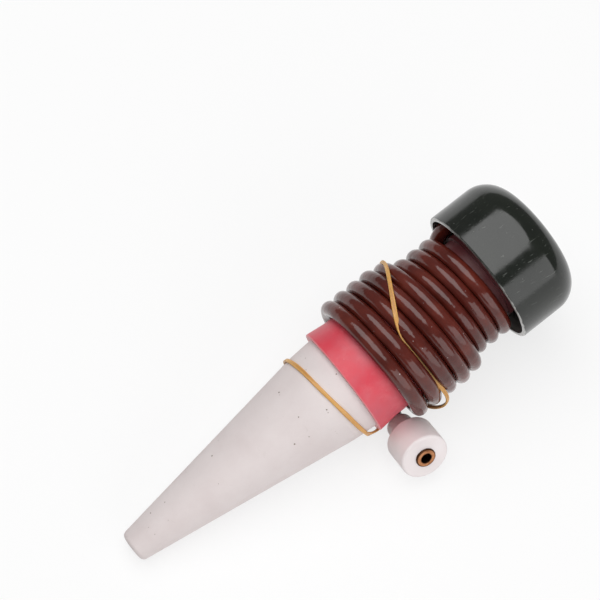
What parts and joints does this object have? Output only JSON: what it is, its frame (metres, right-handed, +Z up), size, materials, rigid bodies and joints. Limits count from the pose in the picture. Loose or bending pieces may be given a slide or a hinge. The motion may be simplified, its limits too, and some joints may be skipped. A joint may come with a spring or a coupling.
{
  "type": "self watering spike",
  "caption": "Porous ceramic plant watering cone with a red neck, a domed cap, a thin hose wound round the neck and a ceramic hose weight.",
  "frame": {"origin": "on the table, under the middle of the lying spike's own box, the free hose, its winding, the weight and the winding's band left out", "axes": "+X along the spike from the cone's tip to the cap, level; +Y across it, away from the weight; +Z up from the table. The spike lies on its tip, on the winding and on the weight, so its own axis climbs 11.2 degrees from +X"},
  "size_m": [0.1568, 0.0587, 0.0561],
  "materials": {
    "porous_ceramic": "unglazed fired clay, chalky",
    "red_sleeve": "soft satin",
    "black_rubber": "matt",
    "copper_metal": "pressed, satin",
    "dark_green_plastic": "moulded, glossy",
    "brown_hose": "extruded, glossy",
    "white_ceramic": "bisque, smooth",
    "tan_rubber": "satin"
  },
  "bodies": {
    "spike": {"ceramic_cone": "porous_ceramic", "neck_sleeve": "red_sleeve", "neck_seal": "black_rubber", "neck_stopper": "black_rubber", "hose_nipple": "copper_metal", "hose_first_turn": "brown_hose", "hose_coil": "brown_hose", "hose_riser": "brown_hose", "hose_tail": "brown_hose", "weight_body": "white_ceramic", "weight_ferrule": "copper_metal", "coil_band": "tan_rubber", "cone_band": "tan_rubber"},
    "cap": {"cap_shell": "dark_green_plastic"}
  },
  "joints": [
    {"name": "cap_lift", "type": "slide", "parent": "spike", "child": "cap", "axis": [0.981, 0, 0.1942], "range_m": [0, 0.04]}
  ]
}
